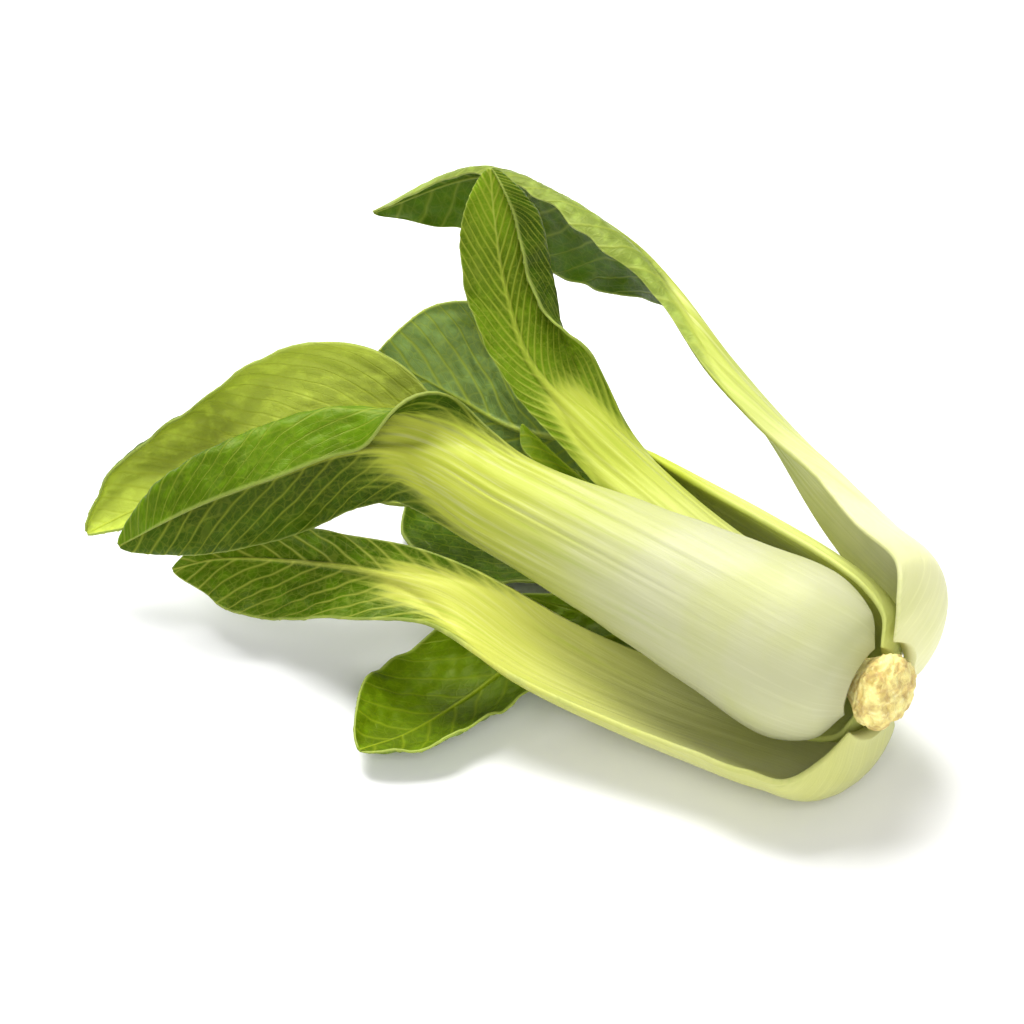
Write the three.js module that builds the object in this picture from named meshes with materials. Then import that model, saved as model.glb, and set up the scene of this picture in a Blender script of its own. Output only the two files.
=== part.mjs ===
import * as THREE from "three";

// A head of baby bok choy that lies on its side. Sizes are in millimetres and
// angles in degrees. The root points along +X, the leaves along -X, Z is up and
// the surface it lies on is at Z 0. Under the bulb the lowest stalk is pressed flat.

// Driving dimensions
const AXIS_HEIGHT = 28;
const SURFACE_HEIGHT = 0;
const ROOT_END_X = 33;
const BLADE_THICKNESS = 0.8;
const STALK_EDGE_THICKNESS = 1.8;
const MIDRIB_HALF_WIDTH = 3.2;
const HEEL_SHARE = 0.55;

// Mesh density of a leaf
const ROWS = 26;
const COLUMNS = 12;
const STEPS_PER_COLUMN = 5;

// Share of the length over which a stalk turns into a blade
const BLADE_STARTS_BEFORE = 0.12;
const BLADE_FULL_AFTER = 0.14;

// Inside the bulb a leaf's cross sections stand square to the head's axis. They turn
// square to the leaf's own path between these two shares of its length.
const BULB_SHARE = [0.08, 0.3];

// The viewpoint from which most leaves were laid out
const VIEW = [0.4925, -0.5868, 0.6428];
const AWAY = VIEW.map((value) => -value);

// Colours
const STALK_GREEN = 0xb9cf7a;
const LEAF_GREEN = 0x5b9a2c;
const DEEP_GREEN = 0x3f7d26;
const PALE_GREEN = 0x8fb848;
const CORK = 0xd9c68a;

// Each leaf runs along a path of [x, y, z, roll, half width] from its heel to its
// tip. The outer side faces the direction given in facing, turned by the roll.
// stalk: the share of the length at which the stalk ends.
// cup: how far each half bends inward at the base, at the neck, and in the blade on
// the right and on the left.
// lip: extra bend of the right and left margins, over the part of the half width in
// lipSpan. It grows over the part of the length in lipGrows, counted from the
// stalk's end.
// side: how wide the blade's right and left halves are.
// thick: extra thickness along the middle of the stalk, at the base and at the neck.
// wave: height, count and start of the waves along the margins.
const LEAVES = [
  {
    name: "leaf_front",
    colour: STALK_GREEN,
    facing: VIEW,
    stalk: 0.6,
    cup: [68, 48, 45, 20],
    lip: [0, -185],
    lipSpan: [0.32, 0.64],
    lipGrows: [-0.02, 0.1],
    side: [0.64, 1.1],
    thick: [3.8, 2.6],
    wave: [0.9, 3.1, 0.4],
    path: [
      [24.5, -5.8, 32.6, 8, 9],
      [21.5, -11, 36.6, 8, 17.2],
      [12, -14.2, 39.2, 8, 22],
      [-6, -14, 39.1, 8, 19.5],
      [-30, -13.3, 38.4, 7, 15],
      [-58, -13.5, 38.2, 3, 11.5],
      [-79, -16, 41, 0, 14],
      [-90, -23, 40, 0, 19],
      [-99, -34, 36, 0, 21],
      [-109, -48, 31.5, 0, 17.5],
      [-120, -59, 22.5, 0, 8],
    ],
  },
  {
    name: "leaf_low",
    colour: STALK_GREEN,
    facing: AWAY,
    stalk: 0.63,
    cup: [40, 50, 20, 25],
    lip: [0, 0],
    lipSpan: [0.5, 1],
    lipGrows: [0.02, 0.3],
    side: [0.46, 0.8],
    thick: [4.4, 2.6],
    wave: [1, 2.6, 1.2],
    path: [
      [27.5, -2.8, 18.2, -58, 7.5],
      [26, -4.8, 11.3, -58, 13],
      [22, -7.1, 4.9, -58, 18.5],
      [13, -8, 3.4, -59, 21],
      [-2, -12.5, 4.2, -61, 18],
      [-18, -18.5, 7.6, -56, 14.5],
      [-39, -25, 14, -42, 11.5],
      [-59, -28.5, 22.2, -22, 9.5],
      [-76, -32.5, 22.2, -10, 13.5],
      [-98, -35.5, 15.2, -10, 16],
      [-110, -41, 12.5, -10, 13],
      [-117, -47, 10, 0, 6],
    ],
  },
  {
    name: "leaf_arch",
    colour: LEAF_GREEN,
    facing: [0, 1, 0],
    stalk: 0.5,
    cup: [46, 40, 115, 15],
    lip: [0, 0],
    lipSpan: [0.5, 1],
    lipGrows: [0.02, 0.3],
    side: [0.5, 1],
    thick: [4.4, 2.6],
    wave: [0.8, 3.4, 2],
    path: [
      [27.5, 9.7, 31.5, 20, 7.5],
      [26, 16.5, 34, 20, 13.5],
      [22, 24.1, 36.8, 20, 18.5],
      [11, 26.7, 37.7, 20, 18.5],
      [-7, 31.5, 39.5, 20, 12.5],
      [-25, 34.5, 45, 36, 8.8],
      [-42, 39, 49.5, 42, 8],
      [-60, 44, 56, 30, 9],
      [-74, 47, 59.5, 12, 16],
      [-93, 48, 61, 5, 19],
      [-111, 46, 60, 5, 15],
      [-134, 36, 45, 5, 3],
    ],
  },
  {
    name: "leaf_top",
    colour: PALE_GREEN,
    facing: VIEW,
    stalk: 0.57,
    cup: [56, 40, 25, 15],
    lip: [0, -170],
    lipSpan: [0.45, 0.72],
    lipGrows: [-0.04, 0.26],
    side: [0.5, 1.15],
    thick: [2.8, 2],
    wave: [0.7, 4.2, 0.8],
    path: [
      [20, 0.2, 33.4, -43, 4.8],
      [16, 0.2, 36.8, -43, 8.4],
      [8, 0.2, 39.5, -43, 11],
      [-15, 3, 40, -46, 10.4],
      [-38, 7, 42, -42, 8.2],
      [-51, 7.8, 46.4, -28, 8.2],
      [-68.5, 9, 54.2, -15, 12.2],
      [-80, 14.5, 65, -15, 15.5],
      [-86, 18.6, 76.5, -10, 14],
      [-90, 22, 85.5, 0, 8],
    ],
  },
  {
    name: "leaf_back",
    colour: LEAF_GREEN,
    facing: AWAY,
    stalk: 0.6,
    cup: [46, 42, 20, 20],
    lip: [0, 0],
    lipSpan: [0.5, 1],
    lipGrows: [0.02, 0.3],
    side: [1, 0.6],
    thick: [3.8, 2.4],
    wave: [1, 3.3, 0],
    path: [
      [24.5, 7.3, 29.3, 54, 5],
      [21.5, 13.2, 30.3, 54, 9.4],
      [12, 16.6, 31.2, 55, 11.8],
      [-15, 19.8, 31.6, 62, 11.2],
      [-40, 20.4, 31.5, 56, 9.3],
      [-62, 19, 31, 35, 9],
      [-78, 14.5, 29.5, 12, 13],
      [-91, 11, 33.5, 0, 19],
      [-99.5, 7, 38, 0, 17],
      [-105, 3, 41, 0, 8],
    ],
  },
  {
    name: "leaf_tip",
    colour: PALE_GREEN,
    facing: [0, 0.5, -0.9],
    stalk: 0.6,
    cup: [42, 42, 30, 40],
    lip: [110, 0],
    lipSpan: [0.5, 1],
    lipGrows: [0.02, 0.3],
    side: [1, 0.45],
    thick: [2.8, 2],
    wave: [0.9, 3, 1.6],
    path: [
      [20, -1.8, 23.1, -49, 3.8],
      [16, -3.1, 19.5, -49, 6.6],
      [8, -4, 16.9, -49, 8.6],
      [-20, -3.5, 18.5, -42, 7.5],
      [-55, -3.5, 22, -20, 7.5],
      [-80, -5, 26, -5, 10],
      [-92, -11.5, 30.5, 0, 20],
      [-101, -19, 32.5, 0, 23],
      [-113, -31, 28, 0, 20.5],
      [-125, -44, 21.5, 0, 16],
      [-133, -55, 16, 0, 8],
    ],
  },
  {
    name: "leaf_cup",
    colour: DEEP_GREEN,
    facing: [0, 0, -1],
    stalk: 0.42,
    cup: [38, 32, 38, 52],
    lip: [0, 0],
    lipSpan: [0.5, 1],
    lipGrows: [0.02, 0.3],
    side: [1, 0.85],
    thick: [3.4, 1.8],
    wave: [0.5, 2.5, 0.3],
    path: [
      [24.5, 1.9, 20.9, 15, 4.9],
      [21.5, 3.6, 14.7, 15, 9.2],
      [12, 4.5, 11.4, 15, 11.6],
      [-18, 5.5, 10.3, 8, 7],
      [-36, 0.5, 5, 0, 10],
      [-49, -13.5, 2.2, 0, 15],
      [-52, -32, 0.8, 0, 16.5],
      [-53, -48, 2.4, 0, 14.5],
      [-55, -60, 5.2, 0, 8],
    ],
  },
  {
    name: "leaf_under",
    colour: DEEP_GREEN,
    facing: [0, 0.3, -0.95],
    stalk: 0.52,
    cup: [40, 38, 25, 25],
    lip: [0, 0],
    lipSpan: [0.5, 1],
    lipGrows: [0.02, 0.3],
    side: [0.95, 1.4],
    thick: [2.8, 2],
    wave: [0.9, 3.2, 2.2],
    path: [
      [20, 4.9, 26.2, 52, 3.6],
      [16, 8.5, 24.9, 52, 6.2],
      [8, 10.9, 24, 52, 8.1],
      [-18, 13, 18.8, 38, 5.6],
      [-42, 20, 11, 12, 5.8],
      [-60, 21.5, 4.6, -6, 12.5],
      [-78, 21, 1.2, -8, 19],
      [-95, 20, 2.4, -8, 16.5],
      [-106, 19, 5, -8, 7],
    ],
  },
  {
    name: "leaf_heart",
    colour: PALE_GREEN,
    facing: [0, 0.6, 0.8],
    stalk: 0.6,
    cup: [60, 60, 40, 40],
    lip: [0, 0],
    lipSpan: [0.5, 1],
    lipGrows: [0.02, 0.3],
    side: [1, 1],
    thick: [1.6, 1.4],
    wave: [0.5, 3.5, 0.9],
    path: [
      [13, 0, 28, 0, 2.6],
      [6, 0.5, 28.6, 0, 4],
      [-20, 3, 29.2, 0, 5.4],
      [-40, 6, 31, 0, 7],
      [-54, 6.5, 34, 0, 7],
      [-62, 6.5, 37, 0, 6],
      [-69, 7, 39.5, 0, 3],
    ],
  },
];

// Profile of the root stub as [x, radius], from the heart of the head to the cut end
const STUB_PROFILE = [
  [16, 0.8],
  [18, 2],
  [21, 3.2],
  [24, 5],
  [26, 6.4],
  [27.6, 7.8],
  [29.5, 7.8],
  [31.5, 7],
  [32.6, 5.6],
  [ROOT_END_X, 2.5],
];
const STUB_SEGMENTS = 20;
const STUB_ROUGHNESS = 0.35;

const radians = (angle) => (angle * Math.PI) / 180;

function smoothstep(from, to, value) {
  const share = Math.min(Math.max((value - from) / (to - from), 0), 1);
  return share * share * (3 - 2 * share);
}

// Slope at each key of a curve through values
function slopes(keys, values) {
  const last = keys.length - 1;
  return keys.map((key, i) => {
    const before = Math.max(i - 1, 0);
    const after = Math.min(i + 1, last);
    return (values[after] - values[before]) / (keys[after] - keys[before]);
  });
}

// Value at a share of the length of a smooth curve through values
function curveAt(keys, values, slope, at) {
  let i = 0;
  while (i < keys.length - 2 && at > keys[i + 1]) i += 1;
  const span = keys[i + 1] - keys[i];
  const t = (at - keys[i]) / span;
  const rise = t * t * (3 - 2 * t);
  const start = t * (1 - t) * (1 - t);
  const end = t * t * (t - 1);
  return (
    values[i] * (1 - rise) +
    values[i + 1] * rise +
    span * (start * slope[i] + end * slope[i + 1])
  );
}

// The path as a function of the share of its length
function pathOf(leaf) {
  const keys = [0];
  for (let i = 1; i < leaf.path.length; i += 1) {
    const [x0, y0, z0] = leaf.path[i - 1];
    const [x1, y1, z1] = leaf.path[i];
    keys.push(keys[i - 1] + Math.hypot(x1 - x0, y1 - y0, z1 - z0));
  }
  const shares = keys.map((key) => key / keys[keys.length - 1]);
  const curves = [0, 1, 2, 3, 4].map((part) => {
    const values = leaf.path.map((point) => point[part]);
    const slope = slopes(shares, values);
    return (at) => curveAt(shares, values, slope, at);
  });
  return {
    point: (at) => new THREE.Vector3(curves[0](at), curves[1](at), curves[2](at)),
    roll: curves[3],
    halfWidth: curves[4],
  };
}

// Rows stand closer together at the heel and at the tip
const rowShare = (row) => {
  const even = row / ROWS;
  return even - 0.08 * Math.sin(2 * Math.PI * even);
};

// The tip closes in a round curve over the last part of the leaf
const TIP_SHARE = 0.09;
function tipClosing(at) {
  const into = Math.max((at - (1 - TIP_SHARE)) / TIP_SHARE, 0);
  return Math.sqrt(Math.max(1 - into * into, 0.01));
}

// Thickness at a share of the length and a distance from the midline
function thicknessAt(leaf, at, distance, halfWidth, blade) {
  const [base, neck] = leaf.thick;
  const stalkPart = base + (neck - base) * smoothstep(0.1, leaf.stalk, at);
  const rib = stalkPart * (1 - 0.92 * smoothstep(leaf.stalk, 1, at));
  const ribWidth = MIDRIB_HALF_WIDTH * (1 - 0.6 * smoothstep(leaf.stalk, 1, at));
  const ribHalf = halfWidth * (1 - blade) + ribWidth * blade;
  const across = Math.min(distance / ribHalf, 1);
  const edge = STALK_EDGE_THICKNESS * (1 - blade) + BLADE_THICKNESS * blade;
  const heel = HEEL_SHARE + (1 - HEEL_SHARE) * smoothstep(0, 0.06, at);
  return (edge + rib * (1 - across ** 2.2)) * heel;
}

// One half of a row, from the midline to the margin
function halfRow(leaf, side, at, halfWidth, blade) {
  const which = side > 0 ? 0 : 1;
  const toNeck = smoothstep(0.15, 0.95, at / leaf.stalk);
  const stalkCup = leaf.cup[0] + (leaf.cup[1] - leaf.cup[0]) * toNeck;
  const cup = radians(stalkCup * (1 - blade) + leaf.cup[2 + which] * blade);
  const lipGrowth = smoothstep(
    leaf.stalk + leaf.lipGrows[0],
    leaf.stalk + leaf.lipGrows[1],
    at,
  );
  const lip = radians(leaf.lip[which]) * lipGrowth;
  const width = halfWidth * (1 - blade + blade * leaf.side[which]);
  const columns = COLUMNS / 2;
  const steps = columns * STEPS_PER_COLUMN;
  const row = [{ across: 0, inward: 0, distance: 0, share: 0 }];
  let across = 0;
  let inward = 0;
  for (let step = 0; step < steps; step += 1) {
    const share = (step + 0.5) / steps;
    const angle = cup * share + lip * smoothstep(leaf.lipSpan[0], leaf.lipSpan[1], share);
    across += (Math.cos(angle) * width) / steps;
    inward += (Math.sin(angle) * width) / steps;
    if ((step + 1) % STEPS_PER_COLUMN === 0) {
      const reached = (step + 1) / steps;
      row.push({
        across: across * side,
        inward,
        distance: reached * width,
        share: reached,
      });
    }
  }
  return row;
}

// The middle surface of a leaf as rows of points with their thickness
function leafRows(leaf) {
  const path = pathOf(leaf);
  const facing = new THREE.Vector3(...leaf.facing);
  const [waveHeight, waveCount, waveStart] = leaf.wave;
  const rows = [];
  for (let row = 0; row <= ROWS; row += 1) {
    const at = rowShare(row);
    const middle = path.point(at);
    const ahead = path.point(Math.min(at + 0.01, 1));
    const behind = path.point(Math.max(at - 0.01, 0));
    const free = smoothstep(BULB_SHARE[0], BULB_SHARE[1], at);
    const along = ahead.sub(behind).normalize().multiplyScalar(free);
    along.x -= 1 - free;
    along.normalize();
    const out = facing
      .clone()
      .addScaledVector(along, -facing.dot(along))
      .normalize()
      .applyAxisAngle(along, -radians(path.roll(at)));
    const right = out.clone().cross(along);
    const blade = smoothstep(
      leaf.stalk - BLADE_STARTS_BEFORE,
      leaf.stalk + BLADE_FULL_AFTER,
      at,
    );
    const halfWidth = Math.max(path.halfWidth(at), 1) * tipClosing(at);
    const left = halfRow(leaf, -1, at, halfWidth, blade).slice(1).reverse();
    const whole = [...left, ...halfRow(leaf, 1, at, halfWidth, blade)];
    rows.push(
      whole.map(({ across, inward, distance, share }) => {
        const swing = 2 * Math.PI * waveCount * at + waveStart + 1.7 * Math.sign(across);
        const wave =
          waveHeight *
          smoothstep(0.35, 1, share) *
          smoothstep(leaf.stalk, leaf.stalk + 0.2, at) *
          tipClosing(at) *
          Math.sin(swing);
        return {
          point: middle
            .clone()
            .addScaledVector(right, across)
            .addScaledVector(out, wave - inward),
          thickness: thicknessAt(leaf, at, distance, halfWidth, blade),
        };
      }),
    );
  }
  return rows;
}

// Direction that points out of the outer side at each grid point
function outwardAt(rows, row, column) {
  const grid = (i, j) => rows[i][j].point;
  const lastRow = rows.length - 1;
  const lastColumn = rows[0].length - 1;
  const along = grid(Math.min(row + 1, lastRow), column)
    .clone()
    .sub(grid(Math.max(row - 1, 0), column));
  const across = grid(row, Math.min(column + 1, lastColumn))
    .clone()
    .sub(grid(row, Math.max(column - 1, 0)));
  return along.cross(across).normalize();
}

// A closed leaf: an outer and an inner face in equal triangles, joined at the rim
function leafGeometry(leaf) {
  const rows = leafRows(leaf);
  const lastRow = rows.length - 1;
  const lastColumn = rows[0].length - 1;
  const perFace = (lastRow + 1) * (lastColumn + 1);
  const points = [];
  for (const direction of [1, -1]) {
    rows.forEach((row, i) =>
      row.forEach(({ point, thickness }, j) => {
        const out = outwardAt(rows, i, j);
        const moved = point.clone().addScaledVector(out, (direction * thickness) / 2);
        points.push(moved.x, moved.y, Math.max(moved.z, SURFACE_HEIGHT));
      }),
    );
  }
  const outer = (i, j) => i * (lastColumn + 1) + j;
  const inner = (i, j) => perFace + outer(i, j);
  const triangles = [];
  const quad = (a, b, c, d) => triangles.push(a, b, c, a, c, d);
  for (let i = 0; i < lastRow; i += 1) {
    for (let j = 0; j < lastColumn; j += 1) {
      quad(outer(i, j), outer(i + 1, j), outer(i + 1, j + 1), outer(i, j + 1));
      triangles.push(inner(i, j), inner(i + 1, j + 1), inner(i + 1, j));
      triangles.push(inner(i, j), inner(i, j + 1), inner(i + 1, j + 1));
    }
    quad(inner(i, 0), inner(i + 1, 0), outer(i + 1, 0), outer(i, 0));
    quad(
      outer(i, lastColumn),
      outer(i + 1, lastColumn),
      inner(i + 1, lastColumn),
      inner(i, lastColumn),
    );
  }
  for (let j = 0; j < lastColumn; j += 1) {
    quad(outer(0, j), outer(0, j + 1), inner(0, j + 1), inner(0, j));
    quad(inner(lastRow, j), inner(lastRow, j + 1), outer(lastRow, j + 1), outer(lastRow, j));
  }
  const geometry = new THREE.BufferGeometry();
  geometry.setAttribute("position", new THREE.Float32BufferAttribute(points, 3));
  geometry.setIndex(triangles);
  return geometry;
}

// The root stub: rings round the axis with a slightly rough skin
function stubGeometry() {
  const points = [];
  const triangles = [];
  STUB_PROFILE.forEach(([x, radius], ring) => {
    for (let k = 0; k < STUB_SEGMENTS; k += 1) {
      const angle = (2 * Math.PI * k) / STUB_SEGMENTS;
      const rough = Math.sin(3 * angle + ring) * Math.cos(5 * angle - 2 * ring);
      const reach = radius * (1 + (STUB_ROUGHNESS * rough * smoothstep(24, 31, x)) / 6);
      points.push(x, reach * Math.cos(angle), AXIS_HEIGHT + reach * Math.sin(angle));
    }
  });
  const rings = STUB_PROFILE.length;
  const at = (ring, k) => ring * STUB_SEGMENTS + (k % STUB_SEGMENTS);
  for (let ring = 0; ring < rings - 1; ring += 1) {
    for (let k = 0; k < STUB_SEGMENTS; k += 1) {
      triangles.push(at(ring, k), at(ring, k + 1), at(ring + 1, k + 1));
      triangles.push(at(ring, k), at(ring + 1, k + 1), at(ring + 1, k));
    }
  }
  const centre = rings * STUB_SEGMENTS;
  points.push(STUB_PROFILE[0][0], 0, AXIS_HEIGHT);
  points.push(ROOT_END_X, 0, AXIS_HEIGHT);
  for (let k = 0; k < STUB_SEGMENTS; k += 1) {
    triangles.push(centre, at(0, k + 1), at(0, k));
    triangles.push(centre + 1, at(rings - 1, k), at(rings - 1, k + 1));
  }
  const geometry = new THREE.BufferGeometry();
  geometry.setAttribute("position", new THREE.Float32BufferAttribute(points, 3));
  geometry.setIndex(triangles);
  return geometry;
}

function part(name, geometry, color, roughness) {
  geometry.computeVertexNormals();
  const material = new THREE.MeshStandardMaterial({ color, roughness, metalness: 0 });
  const mesh = new THREE.Mesh(geometry, material);
  mesh.name = name;
  return mesh;
}

const bokChoy = new THREE.Group();
bokChoy.name = "bok_choy";
bokChoy.add(part("root_stub", stubGeometry(), CORK, 0.85));
for (const leaf of LEAVES) {
  bokChoy.add(part(leaf.name, leafGeometry(leaf), leaf.colour, 0.45));
}

// The frame's origin is on the surface, under the middle of the whole head
const middle = new THREE.Box3().setFromObject(bokChoy).getCenter(new THREE.Vector3());
for (const mesh of bokChoy.children) {
  mesh.geometry.translate(-middle.x, -middle.y, 0);
}

export default bokChoy;
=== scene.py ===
import math

import bpy
import numpy as np
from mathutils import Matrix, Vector, noise


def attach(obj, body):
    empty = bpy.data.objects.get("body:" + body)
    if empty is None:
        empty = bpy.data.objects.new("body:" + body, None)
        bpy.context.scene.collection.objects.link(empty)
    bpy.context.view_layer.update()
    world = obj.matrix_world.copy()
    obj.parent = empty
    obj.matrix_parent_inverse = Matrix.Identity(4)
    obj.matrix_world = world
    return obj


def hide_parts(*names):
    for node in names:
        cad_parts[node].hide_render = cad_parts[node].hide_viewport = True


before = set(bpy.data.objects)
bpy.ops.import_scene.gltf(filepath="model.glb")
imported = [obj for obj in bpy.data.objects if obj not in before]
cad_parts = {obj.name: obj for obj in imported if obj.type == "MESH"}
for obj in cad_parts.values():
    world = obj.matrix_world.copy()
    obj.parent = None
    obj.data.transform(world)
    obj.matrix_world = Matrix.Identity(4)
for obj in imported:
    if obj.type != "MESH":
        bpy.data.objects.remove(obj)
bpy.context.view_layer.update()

# Looks of a head of baby bok choy that lies on its side. Places are in millimetres in
# the part's own layout frame, and angles in degrees, until a mesh is made in metres.

MM = 0.001

# Driving dimensions, as in the part's source
AXIS_HEIGHT = 28
ROOT_END_X = 33
SURFACE_HEIGHT = 0
BULB_SHARE = (0.08, 0.3)
BLADE_STARTS_BEFORE = 0.12
BLADE_FULL_AFTER = 0.14
TIP_SHARE = 0.09
HEEL_SHARE = 0.55
HEAD_MIDDLE = (-51.1560, -5.5776)
VIEW = (0.4925, -0.5868, 0.6428)
AWAY = (-0.4925, 0.5868, -0.6428)

# The real blade and stalk margins are thinner than the solid's
BLADE_THICKNESS = 0.5
STALK_EDGE_THICKNESS = 1.0
MIDRIB_HALF_WIDTH = 1.1
MIDRIB_NARROWS = (-0.13, 0.07)

# Each leaf runs along a path of (x, y, z, roll, half width) from its heel to its
# tip. The outer side faces the direction given in facing, turned by the roll.
LEAVES = {
    "leaf_front": dict(
        facing=VIEW,
        stalk=0.6,
        cup=(68, 48, 45, 20),
        lip=(0, -185),
        lip_span=(0.32, 0.64),
        lip_grows=(-0.02, 0.1),
        side=(0.64, 1.1),
        thick=(3.8, 2.6),
        wave=(0.9, 3.1, 0.4),
        path=[
            (24.5, -5.8, 32.6, 8, 9),
            (21.5, -11, 36.6, 8, 17.2),
            (12, -14.2, 39.2, 8, 22),
            (-6, -14, 39.1, 8, 19.5),
            (-30, -13.3, 38.4, 7, 15),
            (-58, -13.5, 38.2, 3, 11.5),
            (-79, -16, 41, 0, 14),
            (-90, -23, 40, 0, 19),
            (-99, -34, 36, 0, 21),
            (-109, -48, 31.5, 0, 17.5),
            (-120, -59, 22.5, 0, 8),
        ],
    ),
    "leaf_low": dict(
        facing=AWAY,
        stalk=0.63,
        cup=(40, 50, 20, 25),
        lip=(0, 0),
        lip_span=(0.5, 1),
        lip_grows=(0.02, 0.3),
        side=(0.46, 0.8),
        thick=(4.4, 2.6),
        wave=(1, 2.6, 1.2),
        path=[
            (27.5, -2.8, 18.2, -58, 7.5),
            (26, -4.8, 11.3, -58, 13),
            (22, -7.1, 4.9, -58, 18.5),
            (13, -8, 3.4, -59, 21),
            (-2, -12.5, 4.2, -61, 18),
            (-18, -18.5, 7.6, -56, 14.5),
            (-39, -25, 14, -42, 11.5),
            (-59, -28.5, 22.2, -22, 9.5),
            (-76, -32.5, 22.2, -10, 13.5),
            (-98, -35.5, 15.2, -10, 16),
            (-110, -41, 12.5, -10, 13),
            (-117, -47, 10, 0, 6),
        ],
    ),
    "leaf_arch": dict(
        facing=(0, 1, 0),
        stalk=0.5,
        cup=(46, 40, 115, 15),
        lip=(0, 0),
        lip_span=(0.5, 1),
        lip_grows=(0.02, 0.3),
        side=(0.5, 1),
        thick=(4.4, 2.6),
        wave=(0.8, 3.4, 2),
        path=[
            (27.5, 9.7, 31.5, 20, 7.5),
            (26, 16.5, 34, 20, 13.5),
            (22, 24.1, 36.8, 20, 18.5),
            (11, 26.7, 37.7, 20, 18.5),
            (-7, 31.5, 39.5, 20, 12.5),
            (-25, 34.5, 45, 36, 8.8),
            (-42, 39, 49.5, 42, 8),
            (-60, 44, 56, 30, 9),
            (-74, 47, 59.5, 12, 16),
            (-93, 48, 61, 5, 19),
            (-111, 46, 60, 5, 15),
            (-134, 36, 45, 5, 3),
        ],
    ),
    "leaf_top": dict(
        facing=VIEW,
        stalk=0.57,
        cup=(56, 40, 25, 15),
        lip=(0, -170),
        lip_span=(0.45, 0.72),
        lip_grows=(-0.04, 0.26),
        side=(0.5, 1.15),
        thick=(2.8, 2),
        wave=(0.7, 4.2, 0.8),
        path=[
            (20, 0.2, 33.4, -43, 4.8),
            (16, 0.2, 36.8, -43, 8.4),
            (8, 0.2, 39.5, -43, 11),
            (-15, 3, 40, -46, 10.4),
            (-38, 7, 42, -42, 8.2),
            (-51, 7.8, 46.4, -28, 8.2),
            (-68.5, 9, 54.2, -15, 12.2),
            (-80, 14.5, 65, -15, 15.5),
            (-86, 18.6, 76.5, -10, 14),
            (-90, 22, 85.5, 0, 8),
        ],
    ),
    "leaf_back": dict(
        facing=AWAY,
        stalk=0.6,
        cup=(46, 42, 20, 20),
        lip=(0, 0),
        lip_span=(0.5, 1),
        lip_grows=(0.02, 0.3),
        side=(1, 0.6),
        thick=(3.8, 2.4),
        wave=(1, 3.3, 0),
        path=[
            (24.5, 7.3, 29.3, 54, 5),
            (21.5, 13.2, 30.3, 54, 9.4),
            (12, 16.6, 31.2, 55, 11.8),
            (-15, 19.8, 31.6, 62, 11.2),
            (-40, 20.4, 31.5, 56, 9.3),
            (-62, 19, 31, 35, 9),
            (-78, 14.5, 29.5, 12, 13),
            (-91, 11, 33.5, 0, 19),
            (-99.5, 7, 38, 0, 17),
            (-105, 3, 41, 0, 8),
        ],
    ),
    "leaf_tip": dict(
        facing=(0, 0.5, -0.9),
        stalk=0.6,
        cup=(42, 42, 30, 40),
        lip=(110, 0),
        lip_span=(0.5, 1),
        lip_grows=(0.02, 0.3),
        side=(1, 0.45),
        thick=(2.8, 2),
        wave=(0.9, 3, 1.6),
        path=[
            (20, -1.8, 23.1, -49, 3.8),
            (16, -3.1, 19.5, -49, 6.6),
            (8, -4, 16.9, -49, 8.6),
            (-20, -3.5, 18.5, -42, 7.5),
            (-55, -3.5, 22, -20, 7.5),
            (-80, -5, 26, -5, 10),
            (-92, -11.5, 30.5, 0, 20),
            (-101, -19, 32.5, 0, 23),
            (-113, -31, 28, 0, 20.5),
            (-125, -44, 21.5, 0, 16),
            (-133, -55, 16, 0, 8),
        ],
    ),
    "leaf_cup": dict(
        facing=(0, 0, -1),
        stalk=0.42,
        cup=(38, 32, 38, 52),
        lip=(0, 0),
        lip_span=(0.5, 1),
        lip_grows=(0.02, 0.3),
        side=(1, 0.85),
        thick=(3.4, 1.8),
        wave=(0.5, 2.5, 0.3),
        path=[
            (24.5, 1.9, 20.9, 15, 4.9),
            (21.5, 3.6, 14.7, 15, 9.2),
            (12, 4.5, 11.4, 15, 11.6),
            (-18, 5.5, 10.3, 8, 7),
            (-36, 0.5, 5, 0, 10),
            (-49, -13.5, 2.2, 0, 15),
            (-52, -32, 0.8, 0, 16.5),
            (-53, -48, 2.4, 0, 14.5),
            (-55, -60, 5.2, 0, 8),
        ],
    ),
    "leaf_under": dict(
        facing=(0, 0.3, -0.95),
        stalk=0.52,
        cup=(40, 38, 25, 25),
        lip=(0, 0),
        lip_span=(0.5, 1),
        lip_grows=(0.02, 0.3),
        side=(0.95, 1.4),
        thick=(2.8, 2),
        wave=(0.9, 3.2, 2.2),
        path=[
            (20, 4.9, 26.2, 52, 3.6),
            (16, 8.5, 24.9, 52, 6.2),
            (8, 10.9, 24, 52, 8.1),
            (-18, 13, 18.8, 38, 5.6),
            (-42, 20, 11, 12, 5.8),
            (-60, 21.5, 4.6, -6, 12.5),
            (-78, 21, 1.2, -8, 19),
            (-95, 20, 2.4, -8, 16.5),
            (-106, 19, 5, -8, 7),
        ],
    ),
    "leaf_heart": dict(
        facing=(0, 0.6, 0.8),
        stalk=0.6,
        cup=(60, 60, 40, 40),
        lip=(0, 0),
        lip_span=(0.5, 1),
        lip_grows=(0.02, 0.3),
        side=(1, 1),
        thick=(1.6, 1.4),
        wave=(0.5, 3.5, 0.9),
        path=[
            (13, 0, 28, 0, 2.6),
            (6, 0.5, 28.6, 0, 4),
            (-20, 3, 29.2, 0, 5.4),
            (-40, 6, 31, 0, 7),
            (-54, 6.5, 34, 0, 7),
            (-62, 6.5, 37, 0, 6),
            (-69, 7, 39.5, 0, 3),
        ],
    ),
}

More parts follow.
